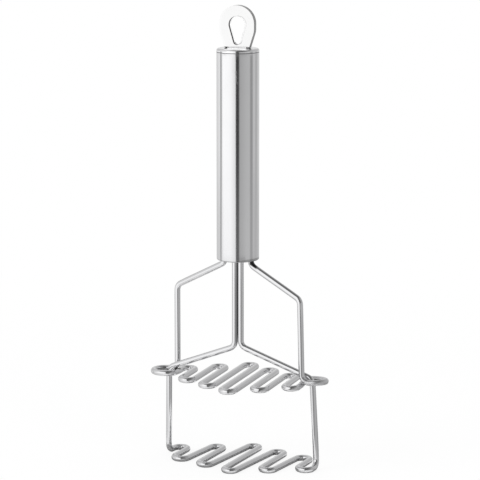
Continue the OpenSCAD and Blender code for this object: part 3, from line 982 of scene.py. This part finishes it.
def steel(
    name, colour, tint, rough, lines, fineness, stretch, smudge, relief, uv=True, shade_mask=None, scuff=None
):
    """Steel with fine lines along its work, smudges that dull it a little, hairline scratches, and painted
    shade where a mask is given.
    """
    material, tree, shader = new_material(name)
    shader.inputs["Metallic"].default_value = 1.0
    place = add(tree, "ShaderNodeTexCoord")
    marks = place_group(tree, GROUPS["marks"], Vector=place.outputs["Object"], Size=0.018)
    along = place.outputs["UV" if uv else "Object"]
    grain = place_group(tree, GROUPS["lines"], Vector=along, Fineness=fineness, Stretch=stretch)
    smudged = product(tree, marks.outputs["Smudge"], smudge)
    share = math_node(tree, "ADD", smudged, product(tree, grain.outputs["Lines"], lines), clamp=True)
    worn = mix_colour(tree, share, colour, tint)
    # Painted shade: the mask darkens the colour
    if shade_mask:
        worn = mix_colour(tree, shade_mask(tree, place), worn, PAINTED_SHADE)
    feed(tree, shader.inputs["Base Color"], worn)
    dull = product(tree, share, GRAIN_DULL)
    dull = math_node(tree, "ADD", dull, product(tree, marks.outputs["Scratch"], SCRATCH_DULL))
    if scuff:
        dull = math_node(tree, "ADD", dull, product(tree, scuff(tree, place), SCUFF_DULL))
    feed(tree, shader.inputs["Roughness"], math_node(tree, "ADD", dull, rough, clamp=True))
    height = math_node(tree, "SUBTRACT", grain.outputs["Lines"], marks.outputs["Scratch"])
    bump(tree, shader, height, relief, LINE_DEPTH)
    return material


def clear_plastic(name, colour, rough):
    """Water-clear moulded plastic with faint flow marks, painted shade under the shoulders, and a painted
    glow on its foot.
    """
    material, tree, shader = new_material(name)
    shader.inputs["Transmission Weight"].default_value = 1.0
    shader.inputs["IOR"].default_value = CLEAR_IOR
    place = add(tree, "ShaderNodeTexCoord")
    split = places(tree, place)
    marks = place_group(tree, GROUPS["marks"], Vector=place.outputs["Object"], Size=0.012)
    clear = mix_colour(tree, marks.outputs["Smudge"], colour, tuple(c * 0.99 for c in colour[:3]) + (1,))
    # Painted shade under the shoulders, mixed into the clear colour
    feed(tree, shader.inputs["Base Color"], mix_colour(tree, foot_shade(tree, split), clear, SHADE))
    dull = product(tree, marks.outputs["Smudge"], SMUDGE_DULL)
    feed(tree, shader.inputs["Roughness"], math_node(tree, "ADD", dull, rough))
    # Painted glow: the foot gives off light that no lamp casts
    shader.inputs["Emission Strength"].default_value = FOOT_PAINTED_GLOW
    glow = mix_colour(tree, ease_mm(tree, split[2], *FOOT_PAINTED_GLOW_Z), BLACK, WHITE)
    feed(tree, shader.inputs["Emission Color"], glow)
    flow = noise(tree, place.outputs["Object"], Scale=220.0, Detail=2.0)
    bump(tree, shader, flow[0], 0.08, FLOW_DEPTH)
    return material


def clear_wall(name, dark, light):
    """Side walls of the clear loop: painted dark where seen from outside, in place of clear plastic's dark
    edges, and clear from within.
    """
    material, tree, shader = new_material(name)
    shader.inputs["Roughness"].default_value = 0.2
    shader.inputs["IOR"].default_value = CLEAR_IOR
    place = add(tree, "ShaderNodeTexCoord")
    flow = noise(tree, place.outputs["Object"], Scale=160.0, Detail=3.0)
    streaks = mix_colour(tree, flow[0], (dark, dark, dark, 1), (light, light, light, 1))
    feed(tree, shader.inputs["Base Color"], streaks)
    inside = add(tree, "ShaderNodeBsdfTransparent")
    facing = add(tree, "ShaderNodeNewGeometry")
    both = mix_shaders(tree, facing.outputs["Backfacing"], shader.outputs[0], inside.outputs[0])
    feed(tree, tree.nodes["Material Output"].inputs["Surface"], both)
    return material


def moulded(name, colour, speck, rough):
    """Moulded plastic: fine texture, faint colour change and a soft sheen."""
    material, tree, shader = new_material(name)
    place = add(tree, "ShaderNodeTexCoord")
    fine = noise(tree, place.outputs["Object"], Scale=900.0, Detail=3.0)
    marks = place_group(tree, GROUPS["marks"], Vector=place.outputs["Object"], Size=0.01)
    feed(tree, shader.inputs["Base Color"], mix_colour(tree, marks.outputs["Smudge"], colour, speck))
    dull = product(tree, fine[0], TEXTURE_DULL)
    feed(tree, shader.inputs["Roughness"], math_node(tree, "ADD", dull, rough))
    bump(tree, shader, fine[0], 0.15, TEXTURE_DEPTH)
    return material


# The studio

# Greys that polished steel sees round it, by degrees from the open front: minus is left, plus is right
FLOOR_FAR = [
    (-180, 0.74), (-150, 0.76), (-135, 0.80), (-113, 0.95), (-107, 0.42), (-99, 0.44), (-93, 1.05),
    (-86, 1.2), (-50, 1.18), (-35, 1.12), (-22, 0.98), (-13, 0.90), (-10, 0.05), (4.5, 0.05), (9, 0.40),
    (15, 0.45), (45, 0.52), (66, 0.54), (72, 0.34), (84, 0.34), (91, 0.60), (101, 0.62), (112, 0.48),
    (121, 0.48), (130, 0.60), (142, 0.68), (180, 0.74),
]
FLOOR_MIDDLE = [
    (-180, 0.66), (-150, 0.68), (-130, 0.72), (-115, 0.78), (-109, 0.44), (-101, 0.46), (-94, 0.95),
    (-80, 1.12), (-40, 1.12), (-13, 0.92), (-9, 0.14), (4, 0.14), (9, 0.45), (45, 0.56), (66, 0.57),
    (72, 0.40), (84, 0.40), (90, 0.56), (110, 0.50), (138, 0.56), (160, 0.62), (180, 0.66),
]
FLOOR_NEAR = [
    (-180, 0.42), (-140, 0.52), (-110, 0.70), (-80, 0.72), (-50, 0.90), (-30, 0.90), (-14, 0.75), (-9, 0.14),
    (4, 0.14), (10, 0.44), (60, 0.46), (90, 0.34), (120, 0.32), (140, 0.38), (160, 0.36), (180, 0.42),
]
FLOOR_BY_RODS = [
    (-180, 0.60), (-150, 0.64), (-115, 0.76), (-108, 0.50), (-101, 0.52), (-94, 0.90), (-80, 1.00),
    (-40, 1.05), (-13, 0.92), (-9, 0.14), (4, 0.14), (10, 0.34), (36, 0.38), (48, 0.54), (66, 0.54),
    (72, 0.40), (84, 0.38), (95, 0.50), (110, 0.46), (138, 0.52), (160, 0.56), (180, 0.60),
]
BACKDROP = [
    (-180, 0.79), (-160, 0.70), (-140, 0.64), (-120, 0.70), (-95, 0.80), (-75, 0.85), (-60, 1.12),
    (-30, 1.12), (-16, 0.95), (-10, 0.15), (4, 0.12), (10, 0.4), (60, 0.5), (100, 0.5), (130, 0.52),
    (148, 0.56), (165, 0.66), (180, 0.79),
]
WALLS = [
    (-180, 0.69), (-150, 0.57), (-130, 0.62), (-110, 0.72), (-90, 0.80), (-75, 0.85), (-60, 1.12),
    (-30, 1.12), (-16, 0.95), (-10, 0.16), (4, 0.12), (30, 0.16), (60, 0.36), (90, 0.46), (130, 0.50),
    (148, 0.52), (165, 0.60), (180, 0.69),
]
CEILING = [(-180, 0.5), (-120, 0.7), (-85, 0.6), (-62, 0.15), (90, 0.14), (140, 0.22), (180, 0.5)]

# Where each ring of greys on the floor takes over from the one inside it, in metres from the middle
FLOOR_BANDS = ((0.12, 0.3, FLOOR_BY_RODS), (0.5, 0.6, FLOOR_MIDDLE), (0.7, 1.4, FLOOR_FAR))
# Where walls and ceiling take over from the backdrop, by how steeply up the steel sees
WALL_BANDS = ((0.13, 0.19, WALLS), (0.68, 0.82, CEILING))

WHITE = (1, 1, 1, 1)
BLACK = (0, 0, 0, 1)
SHADE = (0.01, 0.01, 0.01, 1)
# Dark colour of the painted shade on the steel
PAINTED_SHADE = (0.06, 0.06, 0.06, 1)
# Grey of the painted shadow under the grid
PAINTED_SHADOW_UNDER_GRID = (0.42, 0.42, 0.42, 1)
FLOOR_COLOUR = (0.97, 0.97, 0.97, 1)
CLEAR_IOR = 1.49
SOFT_LIGHT = 0.6
# How much of the floor's real shading the camera sees over plain white, and how far out, in metres
SHADOW_SHARE = 0.12
SHADOW_REACH = (0.6, 0.1)
# The painted shadow under the grid that the steel sees: the slant of its sides, its edge in millimetres,
# and the metres over which the sweep takes over
PATCH_SLANT = 0.42
PATCH_EDGE = (30, 35)
PATCH_END = (0.055, 0.09)
# Half the floor's width, in metres
FLOOR_HALF = 20.0

LAMP_AIM = Vector((0, 0, 0.12))
# Each lamp's name, its place and width in metres, and its power in watts
LAMPS = (
    ("left_soft_lamp", (-1.6, -1.4, 1.5), 1.6, 20),
    ("right_soft_lamp", (1.6, -1.2, 1.2), 1.6, 8),
    ("top_soft_lamp", (0.2, 0.3, 2.0), 1.8, 10),
)


def studio_greys(tree, turn, by, inner, bands):
    """Greys round the object: the inner ramp, then each band, by the named output of the studio turn."""
    seen = grey_ramp(tree, turn.outputs["Turn"], inner)
    for low, high, stops in bands:
        share = ease(tree, turn.outputs[by], low, high)
        seen = mix_colour(tree, share, seen, grey_ramp(tree, turn.outputs["Turn"], stops))
    return seen


def by_ray(tree, lighting, mirrored, shown):
    """One shader lights the object, steel mirrors one, and the camera and clear plastic see one."""
    light = add(tree, "ShaderNodeLightPath")
    lit = mix_shaders(tree, light.outputs["Is Glossy Ray"], lighting, mirrored)
    plain = math_node(tree, "MAXIMUM", light.outputs["Is Camera Ray"], light.outputs["Is Transmission Ray"])
    return mix_shaders(tree, plain, lit, shown)


def make_world():
    """White for the camera and through clear plastic, studio walls for reflections, and soft light."""
    world = bpy.data.worlds.new("studio")
    bpy.context.scene.world = world
    world.use_nodes = True
    tree = world.node_tree
    tree.nodes.clear()
    place = add(tree, "ShaderNodeTexCoord")
    turn = place_group(tree, GROUPS["turn"], Vector=place.outputs["Generated"])
    soft = add(tree, "ShaderNodeBackground", Color=WHITE, Strength=SOFT_LIGHT)
    mirror = add(tree, "ShaderNodeBackground", Strength=1.0)
    feed(tree, mirror.inputs["Color"], studio_greys(tree, turn, "Height", BACKDROP, WALL_BANDS))
    white = add(tree, "ShaderNodeBackground", Color=WHITE, Strength=1.0)
    out = add(tree, "ShaderNodeOutputWorld")
    feed(tree, out.inputs[0], by_ray(tree, soft.outputs[0], mirror.outputs[0], white.outputs[0]))


def make_floor():
    """Pale floor: white with a faint shadow to the camera, and to the steel a lit sweep round a painted
    shadow.
    """
    half = FLOOR_HALF / MM
    corners = [(-half, -half, 0), (half, -half, 0), (half, half, 0), (-half, half, 0)]
    floor = mesh_piece("floor", corners, [(0, 1, 2, 3)])
    material, tree, shader = new_material("pale_floor")
    shader.inputs["Base Color"].default_value = FLOOR_COLOUR
    shader.inputs["Roughness"].default_value = 0.9
    shader.inputs["Specular IOR Level"].default_value = 0.0
    place = add(tree, "ShaderNodeTexCoord")
    turn = place_group(tree, GROUPS["turn"], Vector=place.outputs["Object"])
    distance = turn.outputs["Distance"]
    glow = add(tree, "ShaderNodeEmission", Strength=1.0)
    feed(tree, glow.inputs["Color"], studio_greys(tree, turn, "Distance", FLOOR_NEAR, FLOOR_BANDS))
    split = places(tree, place)
    aside = product(tree, math_node(tree, "ABSOLUTE", split[0]), PATCH_SLANT)
    reach = math_node(tree, "ADD", math_node(tree, "ABSOLUTE", split[1]), aside)
    # The painted shadow under the grid, as the steel sees it
    painted_shadow = add(tree, "ShaderNodeBsdfDiffuse")
    beside = ease_mm(tree, reach, *PATCH_EDGE)
    feed(tree, painted_shadow.inputs["Color"], mix_colour(tree, beside, PAINTED_SHADOW_UNDER_GRID, FLOOR_COLOUR))
    sweep = mix_shaders(tree, ease(tree, distance, *PATCH_END), painted_shadow.outputs[0], glow.outputs[0])
    white = add(tree, "ShaderNodeEmission", Color=WHITE, Strength=1.0)
    shaded = mix_shaders(tree, SHADOW_SHARE, white.outputs[0], shader.outputs[0])
    shown = mix_shaders(tree, ease(tree, distance, *SHADOW_REACH), white.outputs[0], shaded)
    surface = by_ray(tree, shader.outputs[0], sweep, shown)
    feed(tree, tree.nodes["Material Output"].inputs["Surface"], surface)
    floor.data.materials.append(material)


def make_lamp(name, place, size, power):
    """Soft round lamp that points at the object and doesn't show in the steel."""
    lamp = bpy.data.lights.new(name, "AREA")
    lamp.shape = "DISK"
    lamp.size = size
    lamp.energy = power
    holder = bpy.data.objects.new(name, lamp)
    bpy.context.scene.collection.objects.link(holder)
    holder.location = place
    holder.rotation_mode = "QUATERNION"
    holder.rotation_quaternion = (LAMP_AIM - Vector(place)).to_track_quat("-Z", "Y")
    holder.visible_glossy = False


def make_camera():
    """Camera at the photograph's viewing angle."""
    data = bpy.data.cameras.new("camera")
    camera = bpy.data.objects.new("camera", data)
    bpy.context.scene.collection.objects.link(camera)
    t, p = CAMERA_TURN, CAMERA_PITCH
    look = Vector((-math.sin(t) * math.cos(p), math.cos(t) * math.cos(p), -math.sin(p)))
    camera.location = Vector(CAMERA_TARGET) - look * CAMERA_DISTANCE
    camera.rotation_mode = "QUATERNION"
    camera.rotation_quaternion = look.to_track_quat("-Z", "Y")
    data.sensor_width = CAMERA_SENSOR
    data.lens = CAMERA_LENS
    data.clip_start = 0.05
    data.clip_end = 60.0
    bpy.context.scene.camera = camera


# The finishes

GROUPS = {"lines": make_fine_lines(), "marks": make_handling_marks(), "turn": make_studio_turn()}

DRAWN = {"lines": 0.2, "fineness": 0.6, "stretch": 0.05, "smudge": 0.25, "relief": 0.12}
TURNED = {"lines": 0.2, "fineness": 3.0, "stretch": 1.0, "smudge": 0.25, "relief": 0.05}
GROOVE = {"lines": 0.2, "fineness": 3.0, "stretch": 1.0, "smudge": 0.4, "relief": 0.1}
PLAIN = {"lines": 0.3, "fineness": 900.0, "stretch": 1.0, "smudge": 0.4, "relief": 0.2, "uv": False}

WIRE_COLOURS = ((0.82, 0.82, 0.83, 1), (0.74, 0.74, 0.75, 1))
wire_steel = steel("polished_wire", *WIRE_COLOURS, 0.07, **DRAWN, shade_mask=wire_painted_shade, scuff=eye_scuff)
rod_steel = steel("polished_rods", *WIRE_COLOURS, 0.07, **DRAWN, shade_mask=rod_gap_painted_shade)
tube_steel = steel("satin_tube", (0.82, 0.82, 0.83, 1), (0.76, 0.76, 0.77, 1), 0.09, **TURNED, shade_mask=edge_painted_shade)
crown_steel = steel("crown_steel", (0.92, 0.92, 0.93, 1), (0.86, 0.86, 0.87, 1), 0.10, **TURNED)
# Darker steel on the joint's bevels: painted shade in the groove between tube and cap
seam_shade_steel = steel("seam_shade_steel", (0.5, 0.5, 0.51, 1), (0.42, 0.42, 0.43, 1), 0.25, **GROOVE)
# Dark steel as painted shade: on the cap's slot walls and on the bottom disc under the handle
shade_dark_steel = steel("painted_shade_steel", (0.12, 0.12, 0.13, 1), (0.08, 0.08, 0.08, 1), 0.35, **PLAIN)
fitting_steel = steel("fitting_steel", (0.66, 0.66, 0.67, 1), (0.55, 0.55, 0.56, 1), 0.22, **PLAIN)
spring_wire = steel("spring_wire", (0.55, 0.56, 0.58, 1), (0.42, 0.43, 0.45, 1), 0.25, **PLAIN)
loop_face = clear_plastic("clear_plastic", (0.94, 0.94, 0.94, 1), 0.03)
# Side walls painted dark from outside: painted shade at the clear loop's edges
loop_wall = clear_wall("clear_plastic_wall", 0.14, 0.26)
hole_wall = clear_wall("clear_plastic_hole_wall", 0.02, 0.05)
# Dark plastic under the loop's shoulders: painted shade of the gap below them
shoulder_shade = moulded("painted_shade_plastic", (0.03, 0.03, 0.03, 1), (0.02, 0.02, 0.02, 1), 0.5)
white_moulded = moulded("white_plastic", (0.9, 0.9, 0.88, 1), (0.84, 0.84, 0.81, 1), 0.4)
grey_moulded = moulded("grey_plastic", (0.45, 0.46, 0.47, 1), (0.38, 0.39, 0.4, 1), 0.45)


# The pieces

PIECES = (
    (make_fixed_wire, "handle", "upper_masher", "wire_steel", (wire_steel,)),
    (make_sliding_wire, "sliding_grid", "lower_masher", "wire_steel", (rod_steel,)),
    (make_handle_sleeve, "handle", "handle_tube", "handle_steel", (tube_steel, seam_shade_steel)),
    (make_cap_crown, "handle", "end_cap", "cap_steel", (crown_steel, seam_shade_steel, shade_dark_steel)),
    (
        make_loop_plate, "handle", "hanging_loop", "clear_plastic",
        (loop_face, loop_wall, hole_wall, shoulder_shade),
    ),
)
for make, body, node, record_slot, materials in PIECES:
    piece = make()
    for material in materials:
        piece.data.materials.append(material)
    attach(piece, body)
    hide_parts(node)

spring = make_spring_coil()
spring.data.materials.append(spring_wire)
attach(spring, "handle")
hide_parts("return_spring")
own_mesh(spring)

# The solids that stay as they are, with their materials
CARRIED = {
    "spring_stop": white_moulded, "spring_washer": fitting_steel, "rod_ferrule": fitting_steel,
    # The bottom disc's dark steel is painted shade under the handle
    "slider": white_moulded, "guide_bush": grey_moulded, "bottom_disc": shade_dark_steel,
    "anchor_collar_left": fitting_steel, "anchor_collar_right": fitting_steel,
}
for node, material in CARRIED.items():
    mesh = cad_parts[node].data
    mesh.materials.clear()
    mesh.materials.append(material)

make_world()
make_floor()
for lamp in LAMPS:
    make_lamp(*lamp)
make_camera()
bpy.context.scene.view_settings.view_transform = "Standard"
